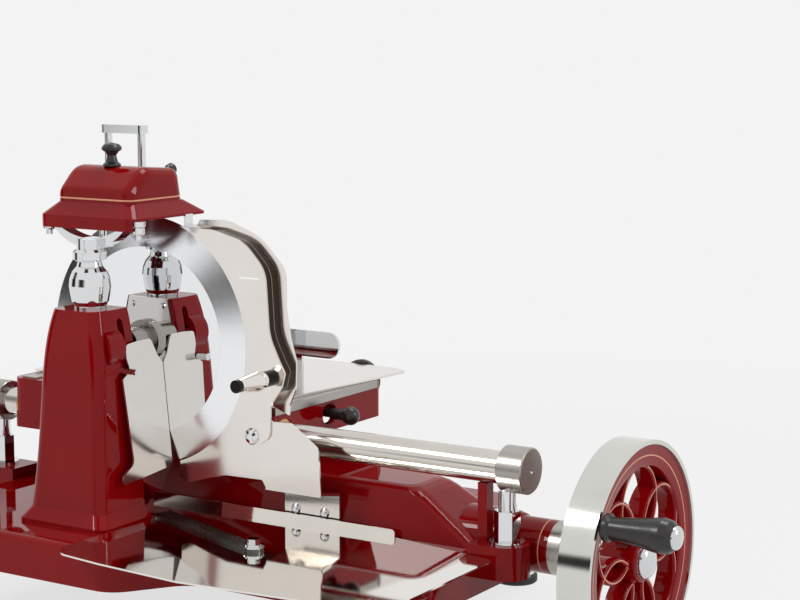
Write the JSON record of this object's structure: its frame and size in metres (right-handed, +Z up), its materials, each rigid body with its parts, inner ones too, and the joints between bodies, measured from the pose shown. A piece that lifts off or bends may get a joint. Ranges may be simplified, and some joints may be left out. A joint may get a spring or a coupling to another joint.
{
  "type": "hand crank meat slicer",
  "caption": "Hand crank flywheel meat slicer with a round upright knife, sliding meat carriage, knife guards, slice tray and sharpener hood.",
  "frame": {"origin": "on the floor under the middle of the machine's bounding box", "axes": "+X towards the flywheel and its crank grip, +Y from the tray side towards the meat carriage, +Z up"},
  "size_m": [1.0189, 0.6479, 0.592],
  "materials": {
    "red_enamel": "gloss",
    "stainless": "polished",
    "chrome": "polished",
    "machine_steel": "machined",
    "bronze": "machined",
    "black_rubber": "matte",
    "black_resin": "gloss",
    "abrasive": "rough"
  },
  "bodies": {
    "base": {"base_casting": "red_enamel", "foot_pads": "black_rubber", "foot_plates": "chrome", "blade_column": "red_enamel", "column_back_plate": "stainless", "steel_fasteners": "chrome", "spindle_housing": "machine_steel", "bronze_bushes": "bronze", "column_neck": "chrome", "sharpener_bracket": "chrome", "thumb_screws": "chrome", "deflector_peg": "machine_steel", "drive_chain": "machine_steel", "guard_pivot_screw": "machine_steel", "lower_guard_plate": "stainless", "slice_tray": "stainless", "tray_clamp_bar": "machine_steel", "guide_tube": "stainless", "tube_end_caps": "stainless", "tube_supports": "chrome", "sleeve_ring": "chrome", "crank_post": "machine_steel", "rear_rail": "machine_steel"},
    "drive": {"drive_shaft": "machine_steel", "crank_pinion": "machine_steel", "flywheel": "red_enamel", "flywheel_rim": "stainless", "hub_cap": "chrome", "crank_pin": "machine_steel"},
    "grip": {"handle_grip": "black_resin", "handle_cap": "chrome"},
    "cross_drive": {"cross_shaft": "machine_steel", "lower_sprocket": "machine_steel"},
    "knife": {"blade": "stainless", "blade_hub": "machine_steel", "blade_cap": "chrome", "spindle_sprocket": "machine_steel"},
    "crank": {"crank_gear": "machine_steel"},
    "rod": {"connecting_rod": "machine_steel"},
    "carriage": {"carriage_body": "red_enamel", "carriage_bushes": "bronze", "carriage_gibs": "machine_steel"},
    "roller": {"rear_roller": "machine_steel"},
    "table": {"meat_table": "stainless", "fence_bar": "chrome", "clamp_posts": "chrome"},
    "feed": {"feed_screw": "machine_steel", "feed_knob": "black_resin"},
    "clamp": {"clamp_head": "chrome", "clamp_knob": "black_resin"},
    "lever": {"feed_lever": "chrome"},
    "guard": {"ring_guard": "stainless"},
    "guard_lock": {"guard_knob": "chrome"},
    "deflector": {"deflector_plate": "stainless"},
    "cover": {"sharpener_cover": "red_enamel", "cover_knobs": "black_resin", "cover_clip": "chrome"},
    "stone_slide": {"stone_carrier": "chrome"},
    "rear_stone": {"grinding_stone": "abrasive"},
    "front_stone": {"honing_stone": "abrasive"}
  },
  "joints": [
    {"name": "flywheel_spin", "type": "hinge", "parent": "base", "child": "drive", "pos_m": [0.4015, 0.011, 0.14], "axis": [1, 0, 0], "continuous": true},
    {"name": "grip_spin", "type": "hinge", "parent": "drive", "child": "grip", "pos_m": [0.4625, -0.091, 0.201], "axis": [1, 0, 0], "continuous": true},
    {"name": "cross_shaft_spin", "type": "hinge", "parent": "base", "child": "cross_drive", "pos_m": [-0.2495, -0.079, 0.14], "axis": [0, 1, 0], "continuous": true},
    {"name": "blade_spin", "type": "hinge", "parent": "base", "child": "knife", "pos_m": [-0.1995, -0.079, 0.346], "axis": [0, 1, 0], "continuous": true},
    {"name": "crank_spin", "type": "hinge", "parent": "base", "child": "crank", "pos_m": [0.0905, 0.011, 0.106], "axis": [0, 0, 1], "continuous": true},
    {"name": "rod_hinge", "type": "hinge", "parent": "crank", "child": "rod", "pos_m": [-0.0345, 0.011, 0.096], "axis": [0, 0, 1], "continuous": true},
    {"name": "carriage_slide", "type": "slide", "parent": "base", "child": "carriage", "axis": [1, 0, 0], "range_m": [0, 0.25]},
    {"name": "roller_spin", "type": "hinge", "parent": "carriage", "child": "roller", "pos_m": [-0.2395, 0.191, 0.167], "axis": [0, 1, 0], "range_deg": [0, 900]},
    {"name": "table_slide", "type": "slide", "parent": "carriage", "child": "table", "axis": [0, 1, 0], "range_m": [-0.028, 0.08]},
    {"name": "feed_screw_spin", "type": "hinge", "parent": "table", "child": "feed", "pos_m": [-0.1045, 0.121, 0.256], "axis": [0, 1, 0], "range_deg": [-1020, 2900]},
    {"name": "clamp_slide", "type": "slide", "parent": "table", "child": "clamp", "axis": [0, 0, 1], "range_m": [-0.055, 0.088]},
    {"name": "feed_lever_tilt", "type": "hinge", "parent": "carriage", "child": "lever", "pos_m": [-0.0875, 0.056, 0.25], "axis": [0, 0, 1], "range_deg": [-8, 8]},
    {"name": "guard_swing", "type": "hinge", "parent": "base", "child": "guard", "pos_m": [-0.0395, -0.085, 0.245], "axis": [0, 1, 0], "range_deg": [0, 12]},
    {"name": "guard_knob_turn", "type": "hinge", "parent": "guard", "child": "guard_lock", "pos_m": [-0.0155, -0.119, 0.316], "axis": [0, 1, 0], "range_deg": [0, 180]},
    {"name": "deflector_pull", "type": "slide", "parent": "base", "child": "deflector", "axis": [1, 0, 0], "range_m": [0, 0.05]},
    {"name": "cover_lift", "type": "slide", "parent": "base", "child": "cover", "axis": [0, 0, 1], "range_m": [0, 0.08]},
    {"name": "stone_lower", "type": "slide", "parent": "base", "child": "stone_slide", "axis": [0, 0, -1], "range_m": [0, 0.01]},
    {"name": "rear_stone_spin", "type": "hinge", "parent": "stone_slide", "child": "rear_stone", "pos_m": [-0.2525, -0.07, 0.516], "axis": [0, 1, 0], "continuous": true},
    {"name": "front_stone_spin", "type": "hinge", "parent": "stone_slide", "child": "front_stone", "pos_m": [-0.2025, -0.091, 0.516], "axis": [0, 1, 0], "continuous": true}
  ],
  "couplings": [
    {"joint": "cross_shaft_spin", "follows": "flywheel_spin", "ratio": 1},
    {"joint": "blade_spin", "follows": "flywheel_spin", "ratio": 2},
    {"joint": "crank_spin", "follows": "flywheel_spin", "ratio": 0.5},
    {"joint": "rod_hinge", "follows": "flywheel_spin", "ratio": -0.5},
    {"joint": "roller_spin", "follows": "carriage_slide", "rad_per_m": 62.5},
    {"joint": "feed_screw_spin", "follows": "table_slide", "rad_per_m": 628.32}
  ]
}
